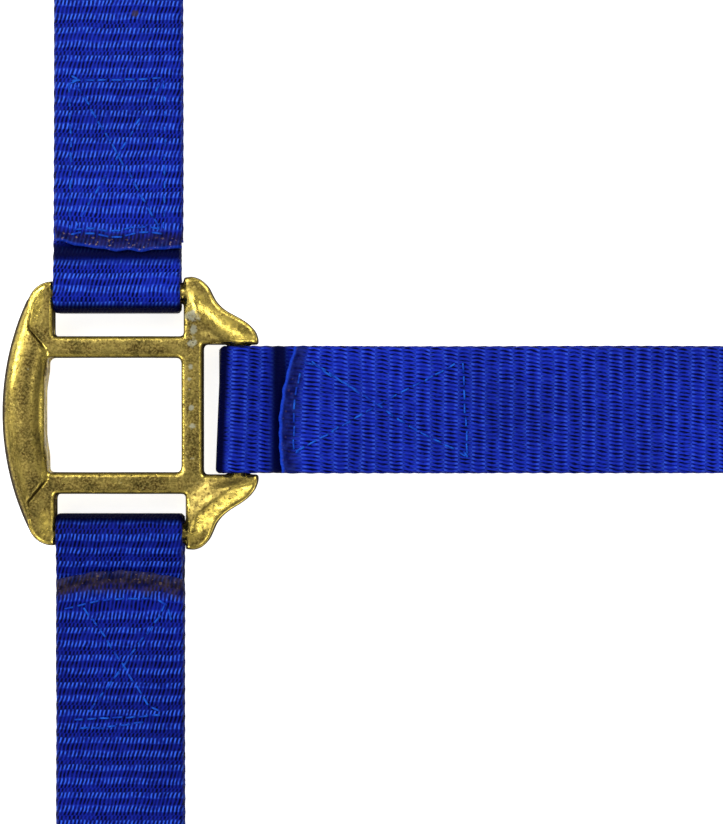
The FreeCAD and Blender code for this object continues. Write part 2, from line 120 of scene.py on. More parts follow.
# Each lamp's name, its place from the aim and its size in metres, and its watts
SOFTBOXES = (
    ("key", (-0.38, 0.38, 1.0), 0.5, 5.0),
    ("fill", (0.45, -0.35, 1.0), 0.5, 2.6),
    ("right", (0.6, 0.65, 0.8), 0.5, 2.8),
    ("low", (-0.6, -0.6, 0.8), 0.5, 2.0),
    ("side", (-0.9, 0.25, 0.5), 0.4, 2.6),
)

EAST = (Vector((1, 0, 0)), Vector((0, 1, 0)))
NORTH = (Vector((0, 1, 0)), Vector((-1, 0, 0)))
SOUTH = (Vector((0, -1, 0)), Vector((1, 0, 0)))
UP = Vector((0, 0, 1))


def low(node):
    """The lowest corner of a solid's box, in millimetres."""
    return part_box(node)[0] / MM


def high(node):
    """The highest corner of a solid's box, in millimetres."""
    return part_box(node)[1] / MM


def middle(node, axis):
    """The middle of a solid's box along x, 0, or y, 1, in millimetres."""
    return (low(node)[axis] + high(node)[axis]) / 2


# The bars that the straps go round
OFF_Z = low("off_cheek_inner").z + WRAP_R
NEAR_Z = low("near_cheek_inner").z + WRAP_R
PITCH = NEAR_Z - OFF_Z
CHIN_X = middle("near_chin_inner", 0)
NOSE_X = middle("nose_strap_inner", 0)
CHEEK_Y = middle("near_cheek_inner", 1)
CROWN_Y = middle("crown_strap_inner", 1)
NOSE_BAR = Vector((NOSE_X, low("nose_strap_inner").y + WRAP_R, OFF_Z))
CHIN_BAR_Y = high("near_chin_inner").y - WRAP_R
CHEEK_BAR_X = low("near_cheek_inner").x + WRAP_R
CROWN_BAR_X = low("crown_strap_inner").x + WRAP_R
THROAT_BAR = Vector((middle("throat_strap_inner", 0), high("throat_strap_inner").y - WRAP_R, OFF_Z))
RING_BAR_X = low("jaw_strap_inner").x + RING_WRAP_R
RING_Y = middle("jaw_strap_inner", 1)
BILLET_BAR_Y = high("chin_billet_inner").y - RING_WRAP_R
NEAR_CHIN_BAR = Vector((CHIN_X, CHIN_BAR_Y, NEAR_Z))
OFF_CHIN_BAR = Vector((CHIN_X, CHIN_BAR_Y, OFF_Z))
NEAR_CHEEK_BAR = Vector((CHEEK_BAR_X, CHEEK_Y, NEAR_Z))
OFF_CHEEK_BAR = Vector((CHEEK_BAR_X, CHEEK_Y, OFF_Z))


# Node arithmetic

class Signal:
    """A number in a node tree, so that a chain of Math nodes reads as arithmetic."""

    def __init__(self, tree, socket):
        self.tree = tree
        self.socket = socket

    def math(self, operation, *others):
        node = self.tree.nodes.new("ShaderNodeMath")
        node.operation = operation
        for k, value in enumerate((self,) + others):
            if isinstance(value, Signal):
                self.tree.links.new(value.socket, node.inputs[k])
            else:
                node.inputs[k].default_value = value
        return Signal(self.tree, node.outputs[0])

    def __add__(self, other):
        return self.math("ADD", other)

    def __sub__(self, other):
        return self.math("SUBTRACT", other)

    def __mul__(self, other):
        return self.math("MULTIPLY", other)

    def wave(self):
        """From 0 to 1 and back for each whole number."""
        return (self * (2 * math.pi)).math("COSINE") * 0.5 + 0.5

    def ramp(self, start, end, low_value=0.0, high_value=1.0):
        """From one value to the other, softly, between start and end."""
        node = self.tree.nodes.new("ShaderNodeMapRange")
        node.interpolation_type = "SMOOTHSTEP"
        self.tree.links.new(self.socket, node.inputs["Value"])
        node.inputs["From Min"].default_value = start
        node.inputs["From Max"].default_value = end
        node.inputs["To Min"].default_value = low_value
        node.inputs["To Max"].default_value = high_value
        return Signal(self.tree, node.outputs[0])


def attribute(tree, name):
    """A value kept at the mesh's points, as a Signal."""
    node = tree.nodes.new("ShaderNodeAttribute")
    node.attribute_name = name
    return Signal(tree, node.outputs["Fac"])


def noise(tree, scale, detail=2.0):
    """Noise in object space, as a Signal from 0 to 1."""
    node = tree.nodes.new("ShaderNodeTexNoise")
    node.inputs["Scale"].default_value = scale
    node.inputs["Detail"].default_value = detail
    place = tree.nodes.new("ShaderNodeTexCoord").outputs["Object"]
    tree.links.new(place, node.inputs["Vector"])
    return Signal(tree, node.outputs["Fac"])


def mix(tree, factor, a, b):
    """A colour between a and b, either colours or sockets."""
    node = tree.nodes.new("ShaderNodeMix")
    node.data_type = "RGBA"
    tree.links.new(factor.socket, node.inputs["Factor"])
    # A, B and Result are there once for each type of data, and these are the ones for colour
    colour_a, colour_b, result = node.inputs[6], node.inputs[7], node.outputs[2]
    for socket, value in ((colour_a, a), (colour_b, b)):
        if isinstance(value, bpy.types.NodeSocket):
            tree.links.new(value, socket)
        else:
            socket.default_value = (*value, 1)
    return result


def linear(red, green, blue):
    """A colour given as it shows on a screen, 0 to 255, as linear light."""
    def one(v):
        v /= 255
        return v / 12.92 if v <= 0.04045 else ((v + 0.055) / 1.055) ** 2.4
    return one(red), one(green), one(blue)


def new_material(name):
    """A material with its node tree and its shader."""
    material = bpy.data.materials.new(name)
    material.use_nodes = True
    tree = material.node_tree
    return material, tree, tree.nodes["Principled BSDF"]


def bump(tree, height, distance, strength=1.0, before=None):
    """A bumped normal, on top of the one before it."""
    node = tree.nodes.new("ShaderNodeBump")
    node.inputs["Distance"].default_value = distance
    node.inputs["Strength"].default_value = strength
    tree.links.new(height.socket, node.inputs["Height"])
    if before:
        tree.links.new(before, node.inputs["Normal"])
    return node.outputs["Normal"]


def weave(tree, lean, paired, bold):
    """Signals of the weave: its gaps, which give bump and painted shade, its floats, which give bump and a painted
    highlight, the crests of its ribs and the distance from a valley.
    """
    x = attribute(tree, "weave_u") * (1 / YARN) + (noise(tree, 300.0) - 0.5) * 0.8
    y = attribute(tree, "weave_v") * (1 / RIB) + (noise(tree, 180.0) - 0.5) * 0.3
    valley = y.math("ROUND")
    from_valley = y - valley
    beside = from_valley.math("ABSOLUTE")
    odd = valley.math("PINGPONG", 1.0)
    slanted = x + from_valley * lean
    between = (slanted + 0.5).wave()
    gap = slanted.wave().ramp(0.24, 0.64)
    if paired:
        long_dash = gap * beside.ramp(0.17, 0.34, 1.0, 0.0)
        near_dash = gap * (from_valley + 0.16).math("ABSOLUTE").ramp(0.1, 0.2, 1.0, 0.0)
        far_dash = between.ramp(0.24, 0.64) * (from_valley - 0.16).math("ABSOLUTE").ramp(0.1, 0.2, 1.0, 0.0)
        other_dash = near_dash.math("MAXIMUM", far_dash)
    else:
        long_dash = (slanted.wave() - beside * 1.3).ramp(0.12, 0.6)
        other_dash = (between - beside * 1.3).ramp(0.12, 0.6)
    dashes = long_dash * (odd * -1 + 1) + other_dash * odd
    crest = beside.ramp(0.12, 0.42)
    # depth: the gaps between yarns, used as bump depth and as painted shade in the gaps
    depth = dashes.math("MAXIMUM", gap * crest * (0.85 * bold)) * noise(tree, 500.0, 3.0).ramp(0.36, 0.56, 0.6, 1.0)
    # floats: the yarn floats over each rib, used as bump and as a painted highlight
    floats = between.ramp(0.4, 0.85) * beside.ramp(0.2, 0.36) * noise(tree, 800.0, 1.0).ramp(0.3, 0.6, 0.15, 1.0)
    return depth, floats, crest, beside


def melted(tree, scorch, flecks, lip):
    """The colour of a melted end, and how much of it shows."""
    cut = attribute(tree, "cut")
    burnt = (cut + (noise(tree, 300.0, 3.0) - 0.5) * 3.0).ramp(1.8, 3.8, 1.0, 0.0)
    char = mix(tree, noise(tree, 700.0).ramp(0.3, 0.7), *scorch)
    fleck = noise(tree, 1300.0, 1.0).ramp(0.64, 0.7) * cut.ramp(1.2, 2.4, 1.0, 0.0)
    char = mix(tree, fleck * flecks, char, linear(150, 124, 92))
    return mix(tree, cut.ramp(0.2, 0.8, lip, 0.0), char, linear(24, 70, 215)), burnt


def webbing_material(name, body, bright, dark, lean, scorch, flecks, lip, paired=True, bold=1.0):
    """Ribbed webbing, with slanted gaps between its warp yarns in each valley and floats over each rib, with
    painted shade in the gaps, in the valleys, along the edges and round the folds, and a painted highlight on the
    floats.

    lean is how the yarns slant. scorch has the darkest and lightest colours of a melted end, flecks how strong its
    ash specks are and lip how blue its edge is. A paired weave has two short gaps in every other valley, where the
    other kind has one long one. bold is how strongly the floats and the gaps between them show.
    """
    material, tree, shader = new_material(name)
    body, bright, dark = linear(*body), linear(*bright), linear(*dark)
    depth, floats, crest, beside = weave(tree, lean, paired, bold)
    char, burnt = melted(tree, [linear(*shade) for shade in scorch], flecks, lip)
    tone = noise(tree, 45.0, 3.0).ramp(0.3, 0.7)
    colour = mix(tree, tone, [v * 0.8 for v in body], [v * 1.12 for v in body])
    # Painted highlight: the floats are mixed towards the bright colour.
    colour = mix(tree, floats * (0.9 * bold), colour, bright)
    half = WEB_WIDTH / 2
    # Painted shade along both edges, where the ply rounds off.
    edge_shade = (attribute(tree, "weave_u") - half).math("ABSOLUTE").ramp(half - 0.6, half, 0.0, 0.5)
    shade = depth * 0.95
    # Painted shade, mixed towards the dark colour: the gaps, a band in each valley between ribs, the edges, and the
    # folds and the bands beside cut ends kept in the turn attribute.
    for other in (beside.ramp(0.0, 0.4, 0.1, 0.0), edge_shade, attribute(tree, "turn") * 0.95):
        shade = shade.math("MAXIMUM", other)
    colour = mix(tree, shade, colour, dark)
    colour = mix(tree, burnt * 0.88, colour, char)
    stain = (attribute(tree, "stain") * noise(tree, 900.0)).ramp(0.2, 0.6)
    colour = mix(tree, stain * 0.85, colour, linear(62, 50, 52))
    tree.links.new(colour, shader.inputs["Base Color"])
    fibre = noise(tree, 2600.0)
    relief = (crest * 0.22 + fibre * 0.1 - depth + floats * 0.25) * (burnt * -0.8 + 1)
    normal = bump(tree, relief, 0.16 * MM, 0.8)
    normal = bump(tree, noise(tree, 800.0, 3.0) * burnt, 0.5 * MM, 0.8, normal)
    tree.links.new(normal, shader.inputs["Normal"])
    shader.inputs["Roughness"].default_value = 0.42
    shader.inputs["Specular IOR Level"].default_value = 0.03
    return material


def thread_material():
    """Twisted blue thread, with painted shade towards each end of a stitch, where it goes down into its hole."""
    material, tree, shader = new_material("thread")
    twist = attribute(tree, "weave_v") * 1.6
    shade = mix(tree, noise(tree, 700.0).ramp(0.3, 0.7), linear(8, 52, 180), linear(34, 112, 242))
    shade = mix(tree, twist.wave() * 0.3, shade, linear(6, 30, 140))
    # Painted shade: the last part of each stitch at either end is mixed towards near black.
    shade = mix(tree, attribute(tree, "ending").ramp(0.7, 1.0), shade, linear(0, 4, 48))
    tree.links.new(shade, shader.inputs["Base Color"])
    tree.links.new(bump(tree, twist.wave(), 0.05 * MM), shader.inputs["Normal"])
    shader.inputs["Roughness"].default_value = 0.6
    shader.inputs["Specular IOR Level"].default_value = 0.12
    return material


def brass_material(name, pits):
    """Cast brass: olive tarnish on the flats, painted dark shade on the steep flanks, a painted highlight on the
    rims, shoulders and D-bar that is partly rubbed wear, fine pits and grey patches.
    """
    material, tree, shader = new_material(name)
    point = Signal(tree, tree.nodes.new("ShaderNodeNewGeometry").outputs["Pointiness"])
    cloud = noise(tree, 150.0, 4.0).ramp(0.38, 0.62)
    mottle = noise(tree, 520.0, 4.0).ramp(0.35, 0.62)
    grain = noise(tree, 2400.0, 3.0).ramp(0.38, 0.66)
    tarnish = mix(tree, cloud, linear(80, 70, 34), linear(156, 138, 70))
    tarnish = mix(tree, mottle * 0.6, tarnish, linear(70, 54, 24))
    tarnish = mix(tree, grain * 0.42, tarnish, linear(200, 176, 96))
    # Painted highlight, partly rubbed wear: the rims, shoulders and a streak on the D-bar are mixed towards bright
    # gold and made smoother.
    highlight_and_rub_mask = attribute(tree, "painted_highlight_and_rub") * noise(tree, 900.0, 3.0).ramp(0.36, 0.54, 0.4, 1.0)
    colour = mix(tree, highlight_and_rub_mask, tarnish, linear(255, 226, 108))
    # Painted shade: steep flanks are mixed towards dark brown and made less metallic and rougher, so the edges read
    # dark from above.
    steep_flank_shade = attribute(tree, "steep").ramp(0.34, 0.54)
    colour = mix(tree, steep_flank_shade * 0.95, colour, linear(36, 22, 6))
    colour = mix(tree, point.ramp(0.497, 0.45) * 0.8, colour, linear(50, 38, 14))
    patch = (attribute(tree, "patina") * 0.9 + noise(tree, 620.0, 4.0) * 2.4 - 1.35).ramp(0.3, 0.75)
    colour = mix(tree, patch * 0.75, colour, linear(170, 170, 148))
    pit = noise(tree, 1500.0, 1.0).ramp(0.66, 0.72)
    colour = mix(tree, pit * 0.7, colour, linear(70, 48, 20))
    tree.links.new(colour, shader.inputs["Base Color"])
    tree.links.new((steep_flank_shade * -0.9 + 1.0).socket, shader.inputs["Metallic"])
    shader.inputs["Specular IOR Level"].default_value = 0.25
    rough = mottle * 0.12 + 0.3 - highlight_and_rub_mask * 0.17 + patch * 0.2 + steep_flank_shade * 0.5
    tree.links.new(rough.socket, shader.inputs["Roughness"])
    normal = bump(tree, noise(tree, 1100.0, 5.0) - pit * 0.5, pits * MM, 0.6)
    normal = bump(tree, noise(tree, 120.0), 0.25 * MM, 0.4, normal)
    tree.links.new(normal, shader.inputs["Normal"])
    return material


def steel_material():
    """Drawn spring wire."""
    material, tree, shader = new_material("spring_wire")
    grain = noise(tree, 1200.0)
    colour = mix(tree, grain, linear(120, 120, 124), linear(190, 190, 194))
    tree.links.new(colour, shader.inputs["Base Color"])
    tree.links.new(bump(tree, grain, 0.02 * MM), shader.inputs["Normal"])
    shader.inputs["Metallic"].default_value = 1.0
    shader.inputs["Roughness"].default_value = 0.3
    return material


BLUE_NOSE = webbing_material("webbing_nose", (26, 47, 188), (62, 114, 255), (0, 0, 28), -1.0,
                             ((5, 5, 46), (34, 30, 76)), 0.75, 0.5)
BLUE_CHEEK = webbing_material("webbing_cheek", (26, 48, 190), (74, 122, 250), (0, 0, 22), 0.5,
                              ((6, 8, 64), (26, 38, 110)), 0.1, 0.8, paired=False, bold=0.4)
BLUE_CHIN = webbing_material("webbing_chin", (20, 36, 158), (54, 104, 246), (0, 0, 20), 1.0,
                             ((8, 6, 20), (56, 46, 44)), 0.35, 0.05)
THREAD = thread_material()
BRASS = brass_material("cast_brass", 0.12)
BRASS_SMOOTH = brass_material("turned_brass", 0.05)
STEEL = steel_material()


# Straps

def centreline(corners):
    """Closely spaced points (along, height) of a line with rounded corners."""
    points = [np.array(c[:2], float) for c in corners]
    heads = [(b - a) / np.linalg.norm(b - a) for a, b in zip(points, points[1:])]
    line = [points[0]]
    for i in range(1, len(points) - 1):
        before, after = heads[i - 1], heads[i]
        turn = math.atan2(before[0] * after[1] - before[1] * after[0], float(before @ after))
        radius = corners[i][2]
        spoke = np.array([before[1], -before[0]]) * radius * math.copysign(1, turn)
        start = points[i] - before * radius * math.tan(abs(turn) / 2)
        for t in np.linspace(0, turn, max(6, int(abs(turn) * radius / 0.15))):
            c, s = math.cos(t), math.sin(t)
            line.append(start - spoke + [spoke[0] * c - spoke[1] * s, spoke[0] * s + spoke[1] * c])
    line.append(points[-1])
    line = np.array(line)
    return line[np.concatenate([[True], np.linalg.norm(np.diff(line, axis=0), axis=1) > 1e-5])]


def walk(corners, fine):
    """Places along a line, close together within the fine spans, with their normals, headings and distances."""
    line = centreline(corners)
    gone = np.concatenate([[0], np.cumsum(np.linalg.norm(np.diff(line, axis=0), axis=1))])
    v = [0.0]
    while v[-1] < gone[-1]:
        v.append(v[-1] + (FINE_STEP if any(a <= v[-1] <= b for a, b in fine) else COARSE_STEP))
    v = np.array(v[:-1] + [gone[-1]])

    def at(where):
        return np.stack([np.interp(where, gone, line[:, k]) for k in (0, 1)], axis=1)

    heading = at(v + 0.05) - at(v - 0.05)
    heading /= np.linalg.norm(heading, axis=1)[:, None]
    return at(v), np.stack([-heading[:, 1], heading[:, 0]], axis=1), heading, v


def smooth(t):
    """From 0 to 1 with a soft start and end."""
    t = np.clip(t, 0, 1)
    return t * t * (3 - 2 * t)


def ripple(v, seed, scale):
    """A slow smooth wander, from about -1 to 1."""
    rng = np.random.RandomState(seed)
    total = np.zeros_like(v)
    for _ in range(4):
        total += np.sin(v / (scale * rng.uniform(0.6, 1.6)) + rng.uniform(0, 6.28)) * rng.uniform(0.15, 0.4)
    return total


def plain_cut(t):
    """How far a cut end bows out, in millimetres, at t of the way across."""
    return 0.8 * np.sin(t * math.pi)


def nose_bow(t):
    """The same for the nose strap's near end, which is cut askew."""
    return 1.4 * (1 - t) + 1.3 * np.sin(t * math.pi)


def chin_bow(t):
    """The same for the near chin strap, which is cut in a deep curve."""
    return 2.0 * np.sin(t * math.pi) ** 0.8 + 1.1


def cheek_bow(t):
    """The same for the near cheek strap, which is cut askew and in a curve."""
    return 2.6 * (1 - t) + 1.6 * np.sin(t * math.pi) - 0.9


def add_piece(name, mesh, material, body, nodes, attributes):
    """A mesh as an object that rides on a body and stands for CAD nodes, with values kept at its points."""
    for key, values in attributes.items():
        layer = mesh.attributes.new(key, "FLOAT", "POINT")
        layer.data.foreach_set("value", np.asarray(values, np.float32).ravel())
    mesh.materials.clear()
    mesh.materials.append(material)
    mesh.shade_smooth()
    piece = bpy.data.objects.new(name, mesh)
    bpy.context.scene.collection.objects.link(piece)
    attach(piece, body)
    if nodes:
        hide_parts(*nodes)


def new_piece(name, points, faces, material, body, nodes, attributes):
    """A piece of webbing or thread, from points in millimetres."""
    mesh = bpy.data.meshes.new(name)
    mesh.from_pydata((np.asarray(points) * MM).tolist(), [], faces)
    add_piece(name, mesh, material, body, nodes, attributes)


def in_space(at, heading, along, across, height):
    """Points of a strap's own along, across and height as points in space."""
    way, side = np.array(heading[0]), np.array(heading[1])
    parts = [np.asarray(a, float)[..., None] for a in np.broadcast_arrays(along, across, height)]
    return np.array(at) + parts[0] * way + parts[1] * side + parts[2] * np.array(UP)


def strip_faces(gone):
    """Faces of a strip whose rows of points run over its top and back under it, open where gone says."""
    rows, cols = gone.shape[0] + 1, gone.shape[1] + 1
    n = 2 * cols
    r, c = np.meshgrid(np.arange(rows - 1), np.arange(n), indexing="ij")
    after = (c + 1) % n
    quads = np.stack([r * n + c, (r + 1) * n + c, (r + 1) * n + after, r * n + after], axis=-1)
    edge = np.zeros((rows - 1, 1), bool)
    both = np.concatenate([gone, edge, gone[:, ::-1], edge], axis=1)
    faces = quads[~both].reshape(-1, 4).tolist()
    for base in (0, (rows - 1) * n):
        for k in range(cols - 1):
            quad = [base + k, base + k + 1, base + n - 2 - k, base + n - 1 - k]
            faces.append(quad[::-1] if base else quad)

    def wall(r0, c0, r1, c1):
        faces.append([r0 * n + c0, r1 * n + c1, r1 * n + n - 1 - c1, r0 * n + n - 1 - c0])

    for i, j in zip(*np.nonzero(gone)):
        if j > 0 and not gone[i, j - 1]:
            wall(i + 1, j, i, j)
        if j < cols - 2 and not gone[i, j + 1]:
            wall(i, j + 1, i + 1, j + 1)
        if i > 0 and not gone[i - 1, j]:
            wall(i, j, i, j + 1)
        if i < rows - 2 and not gone[i + 1, j]:
            wall(i + 1, j + 1, i + 1, j)
    return faces


def openings(u, v, place, total, width, slot_from, holes):
    """Which cells of a strip the tongue's slot and the eyelet holes leave open."""
    mid_u = (u[1:] + u[:-1]) / 2 - width / 2
    mid_v = (v[1:] + v[:-1]) / 2
    gone = np.zeros((len(v) - 1, len(u) - 1), bool)
    if slot_from is not None:
        gone |= (place[:-1, :1] > slot_from) & (np.abs(mid_u) < TONGUE_SLOT / 2)[None, :]
    for k in range(holes):
        centre = total - EYELET_FROM_TIP - k * EYELET_PITCH
        gone |= np.hypot(mid_u[None, :], mid_v[:, None] - centre) < EYELET_R
    return gone


def strip_mesh(name, corners, at, heading, material, body, node, fine=(), columns=64, cuts=(), seed=0, phase=0.0,
               tip=False, slot_from=None, holes=0, width=WEB_WIDTH, ply=PLY, shift=0.0, painted_shadow_bars=(), skew=0.0,
               stain=None):
    """A ply of webbing along corners, with ribs, scalloped edges and sealed ends.

    cuts has, for the first end, the last end or both, how far the sealed end bows out across the ply. creases are
    the bars near which a painted shadow is laid across the ply, in a band about 8 mm from the bar just off the
    other ply's cut end; skew is how far a loop leans across the ply, and stain has a spot's place along and across
    and its radius.
    """
    place, normal, forward, v = walk(corners, fine)
    total = v[-1]
    u = np.linspace(0, width, columns + 1)
    across, along = np.meshgrid(u, v)
    edge = np.minimum(u, width - u)
    round_off = np.sqrt(np.clip(1 - (1 - np.clip(edge / EDGE_R, 0, 1)) ** 2, 0, 1)) * 0.8 + 0.2
    rib = np.cos(2 * math.pi * (v / RIB + 0.5 + phase))
    scallop = -rib * 0.06 + ripple(v, seed, 14.0) * 0.1
    wander = ripple(v, seed + 7, 40.0)[:, None] * 0.12
    side = (across - width / 2) * (1 + scallop[:, None] / (width / 2)) + wander + shift
    cut = np.full_like(along, FAR)
    slide = np.zeros_like(along)
    bead = np.zeros_like(along)
    for end, bow in cuts:
        away = along if end == 0 else total - along
        cut = np.minimum(cut, away)
        jag = ripple(u * 3.0, seed + 11, 2.2)[None, :] * 0.2
        slide += (-1 if end == 0 else 1) * (bow(across / width) * smooth(1 - away / 7.0)
                                            + jag * smooth(1 - away / 2.0))
        uneven = 0.26 + 0.12 * ripple(across * 2.0, seed + 5, 1.5)
        bead += smooth(1 - np.abs(away - 0.6) / 1.0) * uneven
    if tip:
        inward = np.clip(total - along, 0, TIP_R)
        room = width / 2 - TIP_R + np.sqrt(TIP_R ** 2 - (TIP_R - inward) ** 2)
        side = np.clip(side, -room, room)
    wobble = ripple(along + across * 0.6, seed + 3, 9.0) * 0.035
    thick = (ply / 2 - SKIN + rib[:, None] * RIB_HEIGHT + bead + wobble) * round_off[None, :]
    lean = skew * (across / width - 0.5) * smooth(1 - place[:, :1] / BAR_TO_CUT)
    s = place[:, :1] + forward[:, :1] * slide + lean
    h = place[:, 1:] + forward[:, 1:] * slide
    top = in_space(at, heading, s + normal[:, :1] * thick, side, h + normal[:, 1:] * thick)
    bottom = in_space(at, heading, s - normal[:, :1] * thick, side, h - normal[:, 1:] * thick)
    points = np.concatenate([top, bottom[:, ::-1]], axis=1).reshape(-1, 3)
    # Painted shade: turn darkens the ply where it turns down round a bar or a fold,
    turn = smooth((0.95 - np.abs(normal[:, 1])) / 0.22)
    # and, near each bar listed in creases, in a band just off the other ply's cut end, as a painted shadow.
    for bar in painted_shadow_bars:
        beyond = np.abs(place[:, 0] - bar)
        turn = np.maximum(turn, smooth(1.3 - np.abs(beyond - BAR_TO_CUT + 2.4) / 2.6))
    turn = np.broadcast_to(turn[:, None], along.shape)
    values = {"weave_u": across, "weave_v": along + phase * RIB, "cut": cut, "turn": turn}
    if stain:
        away = np.hypot(s - stain[0], side - stain[1])
        values["stain"] = smooth(1.5 - away / stain[2]) * (h > 0)
    new_piece(name, points, strip_faces(openings(u, v, place, total, width, slot_from, holes)), material, body,
              [node], {key: np.concatenate([a, a[:, ::-1]], axis=1) for key, a in values.items()})


def bar_loop(radius, side):
    """Corners of a ply that comes in at height 0, goes round a bar at 0, 0 and leaves one ply below."""
    entry = BAR_TO_CUT - BEND / 5
    around = radius + LOOP_GAP + PLY / 2
    drop = PLY + LAP
    first = math.acos(around / entry)
    last = 2 * math.pi - math.atan2(drop, entry) - math.acos(around / math.hypot(entry, drop))
    step = (last - first) / 3
    out = around / math.cos(step / 2)
    corners = [(entry, 0, BEND)]
    for k in range(3):
        angle = first + step * (k + 0.5)
        corners.append((out * math.cos(angle), side * out * math.sin(angle), around))
    corners.append((entry, -side * drop, BEND))
    return corners


def start_end(radius, tail, side):
    """Corners of a ply's first end: its tail, and then its loop."""
    return [(tail, -side * (PLY + LAP), 0)] + bar_loop(radius, side)[::-1]


def from_end(corners, length):
    """The same corners at the other end of a strap."""
    return [(length - c[0], c[1], c[2]) for c in corners][::-1]


# Stitching

def stitches(name, lines, at, heading, height, side, body, seed=0, sunk=()):
    """Rows of thread, each stitch an arch from hole to hole, on lines of (along, across) points.

    The rows numbered in sunk have pulled down into the weave.
    """
    rng = np.random.RandomState(seed)
    points, faces, twist, ending = [], [], [], []
    n = THREAD_SIDES
    base = 0
    t = np.linspace(0, 1, 9)
    around = np.linspace(0, 2 * math.pi, n, endpoint=False)
    for number, line in enumerate(lines):
        line = np.array(line, float)
        depth = 0.2 if number in sunk else 0.0
        gone = np.concatenate([[0], np.cumsum(np.linalg.norm(np.diff(line, axis=0), axis=1))])
        count = max(1, int(round(gone[-1] / STITCH)))
        for k in range(count):
            span = np.array([k, k + 1]) / count * gone[-1]
            ends = np.stack([np.interp(span, gone, line[:, i]) for i in (0, 1)], axis=1)
            ends += rng.normal(0, 0.09, (2, 2))
            way = ends[1] - ends[0]
            way /= np.linalg.norm(way)
            a, b = ends[0] + way * 0.2, ends[1] - way * 0.2
            row = a[None] + (b - a)[None] * t[:, None]
            proud = rng.uniform(0.02, 0.14)
            arch = np.sin(t * math.pi) ** 0.6 * (THREAD_R + 0.12 + proud) - 0.2 - depth * rng.uniform(0.6, 1.6)
            radius = THREAD_R * (0.75 + 0.25 * np.sin(t * math.pi) ** 0.5)
            beside = np.array([-way[1], way[0]])
            s = row[:, :1] + beside[0] * radius[:, None] * np.cos(around)
            x = row[:, 1:] + beside[1] * radius[:, None] * np.cos(around)
            h = height + side * (arch[:, None] + radius[:, None] * np.sin(around))
            points.append(in_space(at, heading, s, x, h).reshape(-1, 3))
            for i in range(len(t) - 1):
                here, there = base + i * n, base + (i + 1) * n
                for j in range(n):
                    e = (j + 1) % n
                    quad = [here + j, there + j, there + e, here + e]
                    faces.append(quad if side > 0 else quad[::-1])
            faces.append([base + j for j in range(n)][::side])
            faces.append([there + j for j in range(n)][::-side])
            base += len(points[-1])
            twist.append((t[:, None] * STITCH + around / 3 + k).ravel())
            ending.append(np.repeat(np.abs(2 * t - 1), n))
    new_piece(name, np.concatenate(points), faces, THREAD, body, [],
              {"weave_v": np.concatenate(twist), "ending": np.concatenate(ending)})


def box_x(start, end, seed, half=9.4):
    """The usual sewn box with its cross, slightly uneven."""
    rng = np.random.RandomState(seed)
    a, b, c, d = [np.array(p) + rng.normal(0, 0.35, 2)
                  for p in ((start, -half), (start, half), (end, half), (end, -half))]
    return [[a, b], [b, c], [c, d], [d, a], [a, c], [b, d]]


def double_strap(name, body, at, heading, length, side, material, radii=(BAR_R, BAR_R), tails=(TAIL, TAIL),
                 fine=(), tongue=False, bows=(plain_cut, plain_cut), seed=0, sewn=None,
                 shift=0.0, skew=0.0, painted_shadow_bars=()):
    """A strap between two bars: an outer ply, an inner one with its two loops, and the sewing at both ends."""
    outer = [(BAR_TO_CUT, side * PLY, 0), (length - BAR_TO_CUT, side * PLY, 0)]
    strip_mesh(name + "_outer_web", outer, at, heading, material, body, name + "_outer", fine,
               cuts=((0, bows[0]), (1, bows[1])), seed=seed, phase=0.3)
    corners = start_end(radii[0], tails[0], side) + from_end(start_end(radii[1], tails[1], side), length)
    loop = tails[0] - BAR_TO_CUT
    strip_mesh(name + "_inner_web", corners, at, heading, material, body, name + "_inner",
               [(loop, loop + 30)] if fine else (), columns=64 if fine else 40, seed=seed + 20, phase=0.1,
               slot_from=length - SLOT_BACK if tongue else None, shift=shift, painted_shadow_bars=painted_shadow_bars or (0, length),
               skew=skew)
    first = sewn or box_x(SEAM_START, min(tails[0], SEAM_REACH) - ROW_INSET, seed)
    second = box_x(length - min(tails[1], SEAM_REACH) + ROW_INSET, length - SEAM_START, seed + 1)
    stitches(name + "_thread", first + second, at, heading, side * WEB_FACE, side, body, seed)
    stitches(name + "_thread_back", first + second, at, heading, -side * (WEB_FACE + LAP), -side, body, seed + 1)


# The straps, from the muzzle to the poll

def folded_strap(name, at, heading, length, near_start, material, first_tail, fine, cuts, stain=None, **more):
    """A strap that starts on an off square and folds over at length, to lie back over itself on the near side."""
    fold_r = PITCH / 2
    far = length + PLY
    inner = start_end(BAR_R, TAIL, -1) + [(length, 0, fold_r), (length, PITCH, fold_r)] + first_tail
    outer = [(BAR_TO_CUT, -PLY, 0), (far, -PLY, fold_r + PLY), (far, PITCH + PLY, fold_r + PLY),
             (near_start, PITCH + PLY, 0)]
    strip_mesh(name + "_inner_web", inner, at, heading, material, "halter", name + "_inner", fine=fine[0],
               seed=31, phase=0.2, shift=0.3, painted_shadow_bars=(0,), **more)
    strip_mesh(name + "_outer_web", outer, at, heading, material, "halter", name + "_outer", fine=fine[1],
               cuts=cuts, seed=33, stain=stain, **more)


